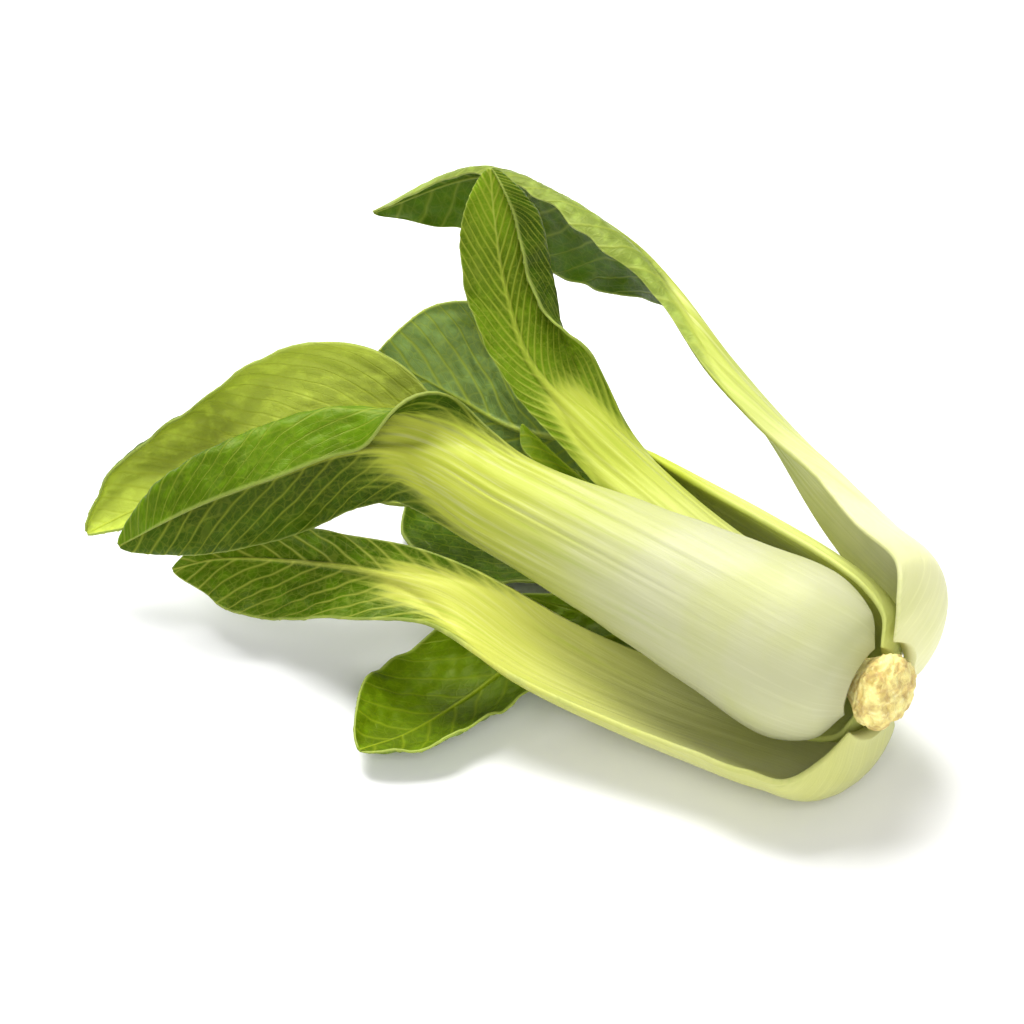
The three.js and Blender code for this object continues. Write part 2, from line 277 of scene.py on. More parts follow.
# Side veins leave the midrib with the slope and the spacing given for each leaf, and
# bend further towards the tip on their way out. Those of the two halves don't meet.
VEIN_BEND = 0.012
VEIN_WOBBLE = 0.22
VEIN_SIDE_SHIFT = 0.25

# Form along a leaf. Places are shares of its length or of the stalk's length, and the
# midrib thins and tapers by a share of its size.
CUP_CHANGES = (0.15, 0.95)
ROW_CROWDING = 0.08
TIP_LEAST = 0.01
WAVE_GROWS = 0.2
STALK_THINS_FROM = 0.1
HEEL_LENGTH = 0.06
NECK_FROM = 0.1
MIDRIB_THINS = 0.92
MIDRIB_TAPERS = 0.75
MIDRIB_EDGE = (0.5, 1.3)
MIDRIB_FADES = 0.55
RIB_ROUNDNESS = 2.2
SECTION_STEPS = 240

# Waves and ripples of the margins: heights and sizes in millimetres, and where they
# start as a share of the half width
WAVE_FROM = 0.35
WAVE_SIDE_SHIFT = 1.7
RIPPLE_HEIGHT = 0.9
RIPPLE_SIZE = (4.2, 9)
RIPPLE_SIDE_SHIFT = 3
RIPPLE_FROM = 0.55

# Swelling between the side veins: heights, sizes and distances in millimetres
PUCKER_HEIGHT = 0.42
PUCKER_STARTS = (1.5, 6)
PUCKER_RIM_FROM = 0.8
PUCKER_RIM_LOSS = 0.6
PUCKER_EVEN = 0.6
PUCKER_PATCHY = 0.5
PATCH_SIZE = (2.6, 2.3)
WOBBLE_SIZE = (9, 7)

# Ridges of the veins and of the stalk's fine ribs, in millimetres
VEIN_HEIGHT = 0.22
VEIN_RIDGE_WIDTH = 0.55
VEIN_STARTS = (1, 4)
STALK_RIB_HEIGHT = 0.15
STALK_RIB_WIDTH = 3.1
STALK_RIB_AT_BULB = 0.15
INNER_RELIEF = 0.4

# A leaf's mesh carries its places along and across in units of this many millimetres
FIELD_MM = 100

# Colours as linear values: stalk at the bulb, stalk at the neck, outer side of the
# blade, inner side of the blade. veins: spacing, slope to the midrib, contrast. Some
# colours also hold painted light or shade, noted at their leaf.
LOOKS = {
    "leaf_front": dict(
        bulb=(0.46, 0.465, 0.28),
        neck=(0.40, 0.44, 0.05),
        # outer: the blade's own dark green made darker by painted shade, because this face turns down
        # from the light
        outer=(0.03, 0.075, 0.0003),
        inner=(0.10, 0.20, 0.002),
        veins=(6.0, 1.7, 0.65),
    ),
    "leaf_low": dict(
        bulb=(0.54, 0.55, 0.22),
        neck=(0.48, 0.50, 0.08),
        outer=(0.08, 0.16, 0.001),
        inner=(0.075, 0.16, 0.0005),
        veins=(6.5, 1.9, 1.0),
    ),
    "leaf_arch": dict(
        # bulb: pale stalk brightened beyond the others by painted light, lifting the shade in the
        # hollow at its base
        bulb=(0.72, 0.72, 0.38),
        neck=(0.38, 0.43, 0.07),
        outer=(0.28, 0.37, 0.06),
        inner=(0.045, 0.12, 0.0005),
        veins=(7.0, 1.1, 0.6),
    ),
    "leaf_top": dict(
        bulb=(0.50, 0.53, 0.16),
        neck=(0.38, 0.43, 0.05),
        outer=(0.12, 0.22, 0.002),
        inner=(0.04, 0.095, 0.001),
        veins=(3.6, 2.3, 1.0),
    ),
    "leaf_back": dict(
        bulb=(0.56, 0.60, 0.18),
        neck=(0.42, 0.48, 0.03),
        outer=(0.10, 0.18, 0.004),
        # inner: green lightened and blued by a painted sheen, the reflection of the bright
        # surroundings on the glossy inner face
        inner=(0.22, 0.34, 0.10),
        veins=(6.0, 1.5, 1.0),
    ),
    "leaf_tip": dict(
        bulb=(0.56, 0.60, 0.18),
        neck=(0.42, 0.48, 0.03),
        outer=(0.08, 0.16, 0.002),
        # inner: yellow-green brightened by painted light, the glow of light shining through the thin
        # folded blade
        inner=(0.50, 0.60, 0.08),
        veins=(5.2, 1.3, 0.55),
    ),
    "leaf_cup": dict(
        bulb=(0.56, 0.60, 0.18),
        neck=(0.38, 0.46, 0.02),
        outer=(0.20, 0.30, 0.03),
        inner=(0.13, 0.22, 0.001),
        veins=(7.5, 1.1, 0.55),
    ),
    "leaf_under": dict(
        bulb=(0.56, 0.60, 0.18),
        neck=(0.38, 0.46, 0.02),
        outer=(0.07, 0.14, 0.003),
        inner=(0.05, 0.11, 0.001),
        veins=(7.0, 1.2, 0.7),
    ),
    "leaf_heart": dict(
        bulb=(0.60, 0.64, 0.18),
        neck=(0.48, 0.54, 0.04),
        outer=(0.18, 0.30, 0.004),
        inner=(0.12, 0.22, 0.003),
        veins=(5.0, 1.2, 0.7),
    ),
}

MARGIN_COLOUR = (0.50, 0.58, 0.14)
MARGIN_SHARE = 0.5
MARGIN_FROM = (0.955, 0.995)

# A leaf turns green first along its margins and last along its middle
MIDDLE_STAYS_PALE = -0.45
MARGIN_TURNS_GREEN = 0.5

# Veins in the skin: half widths in millimetres next to the midrib and far from it,
# and how strongly the smaller veins and the two nets show
VEIN_HALF_WIDTHS = (0.95, 0.22)
VEIN_THINS_OVER = (1.0, 22.0)
VEIN_NECK_GROWTH = 2.2
VEIN_WANDER = 0.9
SMALL_VEIN_WIDTH = 0.06
SMALL_VEIN_SHARE = 0.45
NET_SCALE = 0.42
NET_WIDTH = 0.1
NET_SHARE = 0.3
FINE_NET_SCALE = 1.25
FINE_NET_WIDTH = 0.12
FINE_NET_SHARE = 0.12
NET_WARP = (2.2, 2.2, 0)
NET_WARP_SCALE = 0.35
VEIN_NECK_COLOUR = 0.68
INNER_VEIN_SHARE = 0.85
VEIN_BUMPS = dict(inner=-0.55, outer=0.75)

# Streaks of the stalk: per millimetre along it and across it, how strongly they show,
# and the deeper ones' share of the neck's colour
STREAKS_ALONG = 0.035
STREAKS_ACROSS = 1.1
STREAKS_INTO_BLADE = 0.9
PALE_STREAK_SHARE = 0.35
DEEP_STREAK_SHARE = 0.55
DEEP_STREAK = (0.72, 0.86, 0.55)

# Patches of the skin: noise per millimetre, and the darker ones' share of the colour
BLOTCH_SCALE = 0.05
MOTTLE_SCALE = 0.35
MOTTLE_SHARE = 0.5
GRAIN_SCALE = 1.6
GRAIN_SHARE = 0.12
DARK_PATCH = 0.62

# Gloss, bump and light in and through the skin
ROUGHNESS = dict(stalk=0.42, inner=0.4, outer=0.46)
ROUGHNESS_PATCHES = 0.25
SPECULAR_LEVEL = 0.24
SPECULAR_TINT = (0.95, 1.0, 0.35, 1)
BUMP_DEPTH = 0.35
BUMP_STRENGTH = 0.6
SKIN_SCATTER = 0.12
SKIN_SCATTER_REACH = (1.0, 1.0, 0.35)
SKIN_SCATTER_DEPTH = 2.5
GLOW_COLOUR = (0.42, 0.60, 0.02)
GLOW_SHARE = 0.35
THROUGH_STALK = 0.04
THROUGH_BLADE = 0.2

# Grid of a leaf: rows along it and columns across it
FINE_GRID = (230, 96)
HIDDEN_GRID = (150, 60)
HIDDEN_LEAVES = ("leaf_under", "leaf_heart")


def smoothstep(start, end, value):
    share = np.clip((value - start) / (end - start), 0, 1)
    return share * share * (3 - 2 * share)


def curve_at(keys, values, at):
    """Values of a smooth curve through values, at shares of its length."""
    keys = np.asarray(keys, float)
    values = np.asarray(values, float)
    before = np.maximum(np.arange(len(keys)) - 1, 0)
    after = np.minimum(np.arange(len(keys)) + 1, len(keys) - 1)
    slope = (values[after] - values[before]) / (keys[after] - keys[before])
    i = np.clip(np.searchsorted(keys, at, side="left") - 1, 0, len(keys) - 2)
    span = keys[i + 1] - keys[i]
    t = (at - keys[i]) / span
    rise = t * t * (3 - 2 * t)
    return (
        values[i] * (1 - rise)
        + values[i + 1] * rise
        + span * (t * (1 - t) ** 2 * slope[i] + t * t * (t - 1) * slope[i + 1])
    )


def unit(vectors):
    return vectors / np.maximum(np.linalg.norm(vectors, axis=-1, keepdims=True), 1e-9)


def tip_closing(at):
    into = np.maximum((at - (1 - TIP_SHARE)) / TIP_SHARE, 0)
    return np.sqrt(np.maximum(1 - into * into, TIP_LEAST))


def smooth_noise(x, y, seed):
    """Product of two bent waves, one along each direction, from -1 to 1."""
    return (
        np.sin(1.7 * x + 2.3 * np.sin(0.9 * y + seed) + seed)
        * np.cos(1.3 * y + 1.9 * np.sin(0.7 * x - 1.4 * seed))
    )


def leaf_frames(leaf, at):
    """Middle line of a leaf, its right and outward directions and its length."""
    path = np.array(leaf["path"], float)
    steps = np.linalg.norm(np.diff(path[:, :3], axis=0), axis=1)
    keys = np.concatenate([[0], np.cumsum(steps)])
    length = keys[-1]
    keys = keys / length
    point = np.stack([curve_at(keys, path[:, k], at) for k in range(3)], -1)
    ahead = np.stack([curve_at(keys, path[:, k], np.minimum(at + 0.01, 1)) for k in range(3)], -1)
    behind = np.stack([curve_at(keys, path[:, k], np.maximum(at - 0.01, 0)) for k in range(3)], -1)
    free = smoothstep(BULB_SHARE[0], BULB_SHARE[1], at)[:, None]
    along = unit(unit(ahead - behind) * free + np.array([-1.0, 0, 0]) * (1 - free))
    facing = np.array(leaf["facing"], float)
    flat = unit(facing - (along @ facing)[:, None] * along)
    roll = np.radians(curve_at(keys, path[:, 3], at))[:, None]
    out = flat * np.cos(roll) + np.cross(flat, along) * np.sin(roll)
    right = np.cross(out, along)
    half_width = np.maximum(curve_at(keys, path[:, 4], at), 1) * tip_closing(at)
    return point, right, out, half_width, length


def half_rows(leaf, side, at, half_width, blade, shares):
    """Across and inward distances of one half of every row."""
    which = 0 if side > 0 else 1
    to_neck = smoothstep(CUP_CHANGES[0], CUP_CHANGES[1], at / leaf["stalk"])
    stalk_cup = leaf["cup"][0] + (leaf["cup"][1] - leaf["cup"][0]) * to_neck
    cup = np.radians(stalk_cup * (1 - blade) + leaf["cup"][2 + which] * blade)
    growth = smoothstep(leaf["stalk"] + leaf["lip_grows"][0], leaf["stalk"] + leaf["lip_grows"][1], at)
    lip = np.radians(leaf["lip"][which]) * growth
    width = half_width * (1 - blade + blade * leaf["side"][which])
    steps = SECTION_STEPS
    middle = (np.arange(steps) + 0.5) / steps
    lip_part = smoothstep(leaf["lip_span"][0], leaf["lip_span"][1], middle)
    angle = cup[:, None] * middle + lip[:, None] * lip_part
    zero = np.zeros((len(at), 1))
    across = np.concatenate([zero, np.cumsum(np.cos(angle), 1)], 1) * width[:, None] / steps
    inward = np.concatenate([zero, np.cumsum(np.sin(angle), 1)], 1) * width[:, None] / steps
    index = shares * steps
    low = np.minimum(index.astype(int), steps - 1)
    part = index - low
    across = across[:, low] * (1 - part) + across[:, low + 1] * part
    inward = inward[:, low] * (1 - part) + inward[:, low + 1] * part
    return across, inward, width[:, None] * shares


def vein_phase(name, along_mm, distance, side):
    """Counts the side veins: it is a whole number on each of them."""
    spacing, slope, _ = LOOKS[name]["veins"]
    reach = slope * distance + VEIN_BEND * distance**2
    return (along_mm - reach) / spacing + VEIN_SIDE_SHIFT * side


def surface_normals(grid):
    along = np.gradient(grid, axis=0)
    across = np.gradient(grid, axis=1)
    return unit(np.cross(along, across))


def leaf_surface(name, leaf):
    """Fine middle surface of a leaf with what its two faces need at each point."""
    rows, columns = HIDDEN_GRID if name in HIDDEN_LEAVES else FINE_GRID
    seed = 1.3 * list(LEAVES).index(name)
    even = np.arange(rows + 1) / rows
    at = even - ROW_CROWDING * np.sin(2 * np.pi * even)
    point, right, out, half_width, length = leaf_frames(leaf, at)
    blade = smoothstep(leaf["stalk"] - BLADE_STARTS_BEFORE, leaf["stalk"] + BLADE_FULL_AFTER, at)
    shares = np.arange(columns // 2 + 1) / (columns // 2)
    left = half_rows(leaf, -1, at, half_width, blade, shares)
    near = half_rows(leaf, 1, at, half_width, blade, shares)
    across = np.concatenate([-left[0][:, :0:-1], near[0]], 1)
    inward = np.concatenate([left[1][:, :0:-1], near[1]], 1)
    distance = np.concatenate([left[2][:, :0:-1], near[2]], 1)
    share = np.concatenate([shares[:0:-1], shares])[None, :] * np.ones((rows + 1, 1))
    side = np.sign(np.arange(columns + 1) - columns // 2)[None, :] * np.ones((rows + 1, 1))
    along_mm = (at * length)[:, None] * np.ones((1, columns + 1))
    blade = blade[:, None] * np.ones((1, columns + 1))

    # The same slow wave as in the solid, and a finer ripple close to the margin
    wave_height, wave_count, wave_start = leaf["wave"]
    grown = smoothstep(leaf["stalk"], leaf["stalk"] + WAVE_GROWS, at) * tip_closing(at)
    swing = 2 * np.pi * wave_count * at[:, None] + wave_start + WAVE_SIDE_SHIFT * side
    wave = wave_height * smoothstep(WAVE_FROM, 1, share) * grown[:, None] * np.sin(swing)
    ripple_at = along_mm / RIPPLE_SIZE[0] + RIPPLE_SIDE_SHIFT * side
    ripple = smooth_noise(ripple_at, distance / RIPPLE_SIZE[1], seed)
    wave += RIPPLE_HEIGHT * smoothstep(RIPPLE_FROM, 1, share) * grown[:, None] * ripple

    # The blade swells between its side veins
    wobble_noise = smooth_noise(along_mm / WOBBLE_SIZE[0], distance / WOBBLE_SIZE[1], seed)
    wobble = VEIN_WOBBLE * wobble_noise
    phase = vein_phase(name, along_mm, distance, side) + wobble
    swell = np.sin(np.pi * phase) ** 2 - 0.5
    patch = smooth_noise(along_mm / PATCH_SIZE[0], distance / PATCH_SIZE[1], seed + 2)
    away_from_rib = smoothstep(PUCKER_STARTS[0], PUCKER_STARTS[1], distance)
    away_from_rim = 1 - PUCKER_RIM_LOSS * smoothstep(PUCKER_RIM_FROM, 1, share)
    uneven = swell * (PUCKER_EVEN + PUCKER_PATCHY * patch) + PUCKER_PATCHY * patch
    pucker = blade * away_from_rib * away_from_rim * PUCKER_HEIGHT * uneven

    grid = (
        point[:, None]
        + right[:, None] * across[..., None]
        + out[:, None] * (wave - inward)[..., None]
    )
    normals = surface_normals(grid)
    grid = grid + normals * pucker[..., None]

    base, neck = leaf["thick"]
    stalk_part = base + (neck - base) * smoothstep(STALK_THINS_FROM, leaf["stalk"], at)
    to_tip = smoothstep(leaf["stalk"], 1, at)
    rib = stalk_part * (1 - MIDRIB_THINS * to_tip)
    rib_width = MIDRIB_HALF_WIDTH * (1 - MIDRIB_TAPERS * to_tip)
    narrow_from, narrow_to = (leaf["stalk"] + shift for shift in MIDRIB_NARROWS)
    narrow = smoothstep(narrow_from, narrow_to, at)[:, None]
    rib_half = half_width[:, None] * (1 - narrow) + rib_width[:, None] * narrow
    reach = np.minimum(distance / rib_half, 1)
    edge = STALK_EDGE_THICKNESS * (1 - blade) + BLADE_THICKNESS * blade
    heel = (HEEL_SHARE + (1 - HEEL_SHARE) * smoothstep(0, HEEL_LENGTH, at))[:, None]
    thickness = (edge + rib[:, None] * (1 - reach**RIB_ROUNDNESS)) * heel

    # The stalk has fine ribs along it on its outer side
    across_mm = share * half_width[:, None]
    turn = 2 * np.pi * across_mm / STALK_RIB_WIDTH + 1.3 * side
    fine = np.sin(turn + 1.4 * np.sin(0.37 * turn + seed))
    fine = fine + 0.7 * np.sin(0.43 * turn + 2 * seed)
    to_neck = smoothstep(NECK_FROM, 1, at / leaf["stalk"])[:, None]
    low_ribs = STALK_RIB_HEIGHT * fine * (1 - blade) * (STALK_RIB_AT_BULB + to_neck)
    spacing = LOOKS[name]["veins"][0]
    from_vein = (phase - np.round(phase)) * spacing
    veins = VEIN_HEIGHT * np.exp(-((from_vein / VEIN_RIDGE_WIDTH) ** 2))
    relief = low_ribs + veins * blade * smoothstep(VEIN_STARTS[0], VEIN_STARTS[1], distance)
    on_rib = 1 - smoothstep(MIDRIB_EDGE[0], MIDRIB_EDGE[1], distance / rib_half)
    fields = dict(
        blade=blade,
        rib=on_rib * (1 - MIDRIB_FADES * blade),
        margin=smoothstep(MARGIN_FROM[0], MARGIN_FROM[1], share),
        spread=share,
        along=along_mm / FIELD_MM,
        across=distance * side / FIELD_MM,
        neck=to_neck * np.ones_like(share),
    )
    return grid, surface_normals(grid), thickness, relief, fields


def leaf_mesh(name, leaf):
    """A closed leaf: outer face in slot 0, inner face in slot 1."""
    grid, normals, thickness, relief, fields = leaf_surface(name, leaf)
    outer_face = grid + normals * (thickness / 2 + relief)[..., None]
    inner_face = grid - normals * (thickness / 2 - INNER_RELIEF * relief)[..., None]
    points = np.concatenate([outer_face.reshape(-1, 3), inner_face.reshape(-1, 3)])
    points[:, 2] = np.maximum(points[:, 2], SURFACE_HEIGHT)
    points -= np.array([HEAD_MIDDLE[0], HEAD_MIDDLE[1], 0])
    points *= MM
    rows, columns = grid.shape[0] - 1, grid.shape[1] - 1
    index = np.arange((rows + 1) * (columns + 1)).reshape(rows + 1, columns + 1)
    a, b, c, d = index[:-1, :-1], index[1:, :-1], index[1:, 1:], index[:-1, 1:]
    outer = np.stack([a, b, c, d], -1).reshape(-1, 4)
    other = index.size
    inner = np.stack([a, d, c, b], -1).reshape(-1, 4) + other
    rim = np.concatenate([index[:, 0], index[-1, 1:], index[-2::-1, -1], index[0, -2:0:-1]])
    following = np.roll(rim, -1)
    edge = np.stack([rim, rim + other, following + other, following], -1)
    faces = np.concatenate([outer, inner, edge])
    mesh = bpy.data.meshes.new(name + "_looks")
    mesh.from_pydata(points.tolist(), [], faces.tolist())
    slots = np.zeros(len(faces), np.int32)
    slots[len(outer) : len(outer) + len(inner)] = 1
    mesh.polygons.foreach_set("material_index", slots)
    mesh.polygons.foreach_set("use_smooth", np.ones(len(faces), bool))
    for key, values in fields.items():
        layer = mesh.attributes.new(key, "FLOAT", "POINT")
        flat = (values * np.ones(grid.shape[:2])).ravel()
        layer.data.foreach_set("value", np.concatenate([flat, flat]).astype(np.float32))
    mesh.update()
    return mesh


# Nodes

class Tree:
    """A small helper for building shader node trees."""

    def __init__(self, name):
        self.material = bpy.data.materials.new(name)
        self.material.use_nodes = True
        self.tree = self.material.node_tree
        self.tree.nodes.clear()

    def node(self, kind, **settings):
        made = self.tree.nodes.new(kind)
        for key, value in settings.items():
            setattr(made, key, value)
        return made

    def put(self, value, socket):
        if hasattr(value, "is_output"):
            self.tree.links.new(value, socket)
        else:
            socket.default_value = value

    def field(self, name):
        return self.node("ShaderNodeAttribute", attribute_name=name).outputs["Fac"]

    def math(self, operation, first, second=0.0, clamp=False):
        made = self.node("ShaderNodeMath", operation=operation, use_clamp=clamp)
        self.put(first, made.inputs[0])
        self.put(second, made.inputs[1])
        return made.outputs[0]

    def step(self, value, low, high, start=0.0, end=1.0):
        made = self.node("ShaderNodeMapRange", interpolation_type="SMOOTHSTEP")
        self.put(value, made.inputs["Value"])
        for key, number in (("From Min", low), ("From Max", high), ("To Min", start), ("To Max", end)):
            self.put(number, made.inputs[key])
        return made.outputs["Result"]

    def mix(self, share, first, second):
        made = self.node("ShaderNodeMix", data_type="RGBA")
        self.put(share, made.inputs["Factor"])
        for value, socket in ((first, made.inputs["A"]), (second, made.inputs["B"])):
            self.put((*value, 1) if isinstance(value, tuple) else value, socket)
        return made.outputs["Result"]

    def vector(self, x, y, z=0.0):
        made = self.node("ShaderNodeCombineXYZ")
        for value, socket in zip((x, y, z), made.inputs):
            self.put(value, socket)
        return made.outputs[0]

    def noise(self, place, scale, detail=3.0, rough=0.5):
        made = self.node("ShaderNodeTexNoise")
        self.put(place, made.inputs["Vector"])
        for key, number in (("Scale", scale), ("Detail", detail), ("Roughness", rough)):
            self.put(number, made.inputs[key])
        return made.outputs["Fac"]

    def net(self, place, scale):
        made = self.node("ShaderNodeTexVoronoi", feature="DISTANCE_TO_EDGE")
        self.put(place, made.inputs["Vector"])
        self.put(scale, made.inputs["Scale"])
        return made.outputs["Distance"]


def leaf_material(name, looks, inner, seed):
    """Stalk and blade in one skin, with veins on the blade and fine ribs on the stalk."""
    t = Tree(name)
    blade, rib, along, across = (t.field(key) for key in ("blade", "rib", "along", "across"))
    margin, spread, neck = (t.field(key) for key in ("margin", "spread", "neck"))
    along_mm = t.math("MULTIPLY", along, FIELD_MM)
    across_mm = t.math("MULTIPLY", across, FIELD_MM)
    side = t.math("SIGN", across_mm)
    distance = t.math("ABSOLUTE", across_mm)
    place = t.vector(along_mm, across_mm, seed)

    # Side veins
    bend = t.math("MULTIPLY", t.math("MULTIPLY", distance, distance), VEIN_BEND)
    spacing, slope, contrast = looks["veins"]
    reach = t.math("ADD", t.math("MULTIPLY", distance, slope), bend)
    count = t.math("DIVIDE", t.math("SUBTRACT", along_mm, reach), spacing)
    wander = t.math("SUBTRACT", t.noise(place, 0.07, 2.0), 0.5)
    wander = t.math("MULTIPLY", wander, VEIN_WANDER)
    side_shift = t.math("MULTIPLY", side, VEIN_SIDE_SHIFT)
    phase = t.math("ADD", t.math("ADD", count, side_shift), wander)
    off = t.math("ABSOLUTE", t.math("SUBTRACT", phase, t.math("ROUND", phase)))
    near_width, far_width = (half_width / spacing for half_width in VEIN_HALF_WIDTHS)
    width = t.step(distance, *VEIN_THINS_OVER, near_width, far_width)
    width = t.math("MULTIPLY", width, t.step(blade, 0.4, 1.0, VEIN_NECK_GROWTH, 1.0))
    main_veins = t.math("SUBTRACT", 1.0, t.math("DIVIDE", off, width), clamp=True)
    half = t.math("ADD", t.math("MULTIPLY", phase, 2.0), t.math("MULTIPLY", wander, 1.5))
    half_off = t.math("ABSOLUTE", t.math("SUBTRACT", half, t.math("ROUND", half)))
    small_off = t.math("DIVIDE", half_off, SMALL_VEIN_WIDTH)
    small_veins = t.math("SUBTRACT", 1.0, small_off, clamp=True)

    # Two nets of finer veins between them
    warp_noise = t.node("ShaderNodeTexNoise")
    t.put(place, warp_noise.inputs["Vector"])
    warp_noise.inputs["Scale"].default_value = NET_WARP_SCALE
    warp = t.node("ShaderNodeVectorMath", operation="MULTIPLY_ADD")
    t.put(warp_noise.outputs["Color"], warp.inputs[0])
    warp.inputs[1].default_value = NET_WARP
    t.put(place, warp.inputs[2])
    net = t.step(t.net(warp.outputs[0], NET_SCALE), 0.0, NET_WIDTH, 1.0, 0.0)
    fine_net = t.step(t.net(warp.outputs[0], FINE_NET_SCALE), 0.0, FINE_NET_WIDTH, 1.0, 0.0)
    veins = main_veins
    for finer, share in (
        (small_veins, SMALL_VEIN_SHARE),
        (net, NET_SHARE),
        (fine_net, FINE_NET_SHARE),
    ):
        veins = t.math("MAXIMUM", veins, t.math("MULTIPLY", finer, share))

    # Stalk: fine streaks along it
    streak_place = t.vector(
        t.math("MULTIPLY", along_mm, STREAKS_ALONG),
        t.math("MULTIPLY", across_mm, STREAKS_ACROSS),
        seed,
    )
    streaks = t.noise(streak_place, 1.0, 4.0, 0.6)
    blotch = t.noise(place, BLOTCH_SCALE, 3.0)
    stalk = t.mix(t.step(neck, 0.3, 1.05), looks["bulb"], looks["neck"])
    pale = tuple(min(1.0, value * 1.18 + 0.03) for value in looks["bulb"])
    stalk = t.mix(t.step(streaks, 0.48, 0.72, 0.0, PALE_STREAK_SHARE), stalk, pale)
    deep = tuple(value * share for value, share in zip(looks["neck"], DEEP_STREAK))
    deep_streaks = t.step(streaks, 0.5, 0.28, 0.0, DEEP_STREAK_SHARE)
    stalk = t.mix(t.math("MULTIPLY", deep_streaks, neck), stalk, deep)
    stalk = t.mix(t.step(blotch, 0.4, 0.7, 0.0, 0.25), stalk, looks["neck"])

    # Blade
    side_name = "inner" if inner else "outer"
    colour = looks[side_name]
    light = tuple(min(1.0, value * 1.5 + 0.002) for value in colour)
    dark = tuple(value * DARK_PATCH for value in colour)
    face = t.mix(t.step(blotch, 0.35, 0.65), dark, colour)
    mottle = t.noise(place, MOTTLE_SCALE, 3.0)
    face = t.mix(t.step(mottle, 0.45, 0.75, 0.0, MOTTLE_SHARE), face, light)
    vein_colour = tuple(
        VEIN_NECK_COLOUR * pale_part + (1 - VEIN_NECK_COLOUR) * blade_part
        for pale_part, blade_part in zip(looks["neck"], colour)
    )
    strength = contrast * (INNER_VEIN_SHARE if inner else 1.0)
    face = t.mix(t.math("MULTIPLY", veins, strength), face, vein_colour)
    face = t.mix(t.math("MULTIPLY", margin, MARGIN_SHARE), face, MARGIN_COLOUR)

    # The stalk turns into the blade in streaks, first along the margins
    frayed = t.math("MULTIPLY", t.math("SUBTRACT", streaks, 0.5), STREAKS_INTO_BLADE)
    soft = t.math("ADD", blade, frayed)
    turn = t.step(spread, 0.1, 1.0, MIDDLE_STAYS_PALE, MARGIN_TURNS_GREEN)
    soft = t.math("ADD", soft, t.math("MULTIPLY", turn, t.step(blade, 1.0, 0.6)))
    soft = t.math("MULTIPLY", t.step(soft, 0.4, 0.97), t.step(rib, 0.75, 0.15))
    colour = t.mix(soft, stalk, face)

    # Relief and gloss
    bump_veins = t.math("MULTIPLY", veins, VEIN_BUMPS[side_name])
    bump_veins = t.math("MULTIPLY", bump_veins, soft)
    grain = t.math("MULTIPLY", t.noise(place, GRAIN_SCALE, 3.0), GRAIN_SHARE)
    ridges = t.math("MULTIPLY", streaks, t.math("SUBTRACT", 0.5, t.math("MULTIPLY", soft, 0.4)))
    height = t.math("ADD", t.math("ADD", bump_veins, grain), ridges)
    bump = t.node("ShaderNodeBump")
    bump.inputs["Distance"].default_value = BUMP_DEPTH * MM
    bump.inputs["Strength"].default_value = BUMP_STRENGTH
    t.put(height, bump.inputs["Height"])
    rough = t.mix(soft, (ROUGHNESS["stalk"],) * 3, (ROUGHNESS[side_name],) * 3)
    rough_patches = t.math("MULTIPLY", t.math("SUBTRACT", blotch, 0.5), ROUGHNESS_PATCHES)
    rough = t.math("ADD", rough, rough_patches)

    skin = t.node("ShaderNodeBsdfPrincipled")
    t.put(colour, skin.inputs["Base Color"])
    t.put(rough, skin.inputs["Roughness"])
    t.put(bump.outputs["Normal"], skin.inputs["Normal"])
    skin.inputs["Specular IOR Level"].default_value = SPECULAR_LEVEL
    skin.inputs["Specular Tint"].default_value = SPECULAR_TINT
    skin.inputs["Subsurface Weight"].default_value = SKIN_SCATTER
    skin.inputs["Subsurface Radius"].default_value = SKIN_SCATTER_REACH
    skin.inputs["Subsurface Scale"].default_value = SKIN_SCATTER_DEPTH * MM
    through = t.node("ShaderNodeBsdfTranslucent")
    glow = t.mix(GLOW_SHARE, colour, GLOW_COLOUR)
    t.put(glow, through.inputs["Color"])
    both = t.node("ShaderNodeMixShader")
    t.put(t.step(soft, 0.0, 1.0, THROUGH_STALK, THROUGH_BLADE), both.inputs["Fac"])
    t.put(skin.outputs[0], both.inputs[1])
    t.put(through.outputs[0], both.inputs[2])
    end = t.node("ShaderNodeOutputMaterial")
    t.put(both.outputs[0], end.inputs["Surface"])
    return t.material


def add_piece(name, mesh, node):
    piece = bpy.data.objects.new(name, mesh)
    bpy.context.scene.collection.objects.link(piece)
    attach(piece, "root")
    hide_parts(node)
    return piece


def build_leaf(name, leaf):
    mesh = leaf_mesh(name, leaf)
    seed = 7.0 * list(LEAVES).index(name)
    mesh.materials.append(leaf_material(name + "_outer", LOOKS[name], False, seed))
    mesh.materials.append(leaf_material(name + "_inner", LOOKS[name], True, seed))
    return add_piece(name + "_looks", mesh, name)


# Root end: a short corky core, lumpy and scarred where leaves were cut off
STUB_PROFILE = (
    (16, 0.8),
    (18, 2),
    (21, 3.2),
    (24, 5),
    (26, 6.4),
    (27.6, 7.8),
    (29.5, 7.8),
    (31.5, 7),
    (32.6, 5.6),
    (ROOT_END_X, 2.5),
)
STUB_RINGS = 60
STUB_SEGMENTS = 128
CORK_GROWS = (24, 30)
LUMP_SHARE = 0.13
SCAR_SHARE = 0.24
END_ROUGHNESS = 0.9
END_RISES_BY = 0.2
END_DIMPLE = 0.9

# Its skin: noise per metre, linear colours, bump and scatter in millimetres
CORK_LUMPS = 260.0
CORK_GRAIN = 900.0
CORK_SPOTS = 420.0
CORK_COLOURS = dict(
    deep=(0.66, 0.50, 0.14),
    light=(0.86, 0.76, 0.28),
    dry=(0.92, 0.88, 0.55),
    spot=(0.46, 0.30, 0.10),
)
CORK_BUMP = 0.8
CORK_SCATTER = 0.1
CORK_SCATTER_REACH = (1.0, 0.8, 0.4)
CORK_SCATTER_DEPTH = 1.5


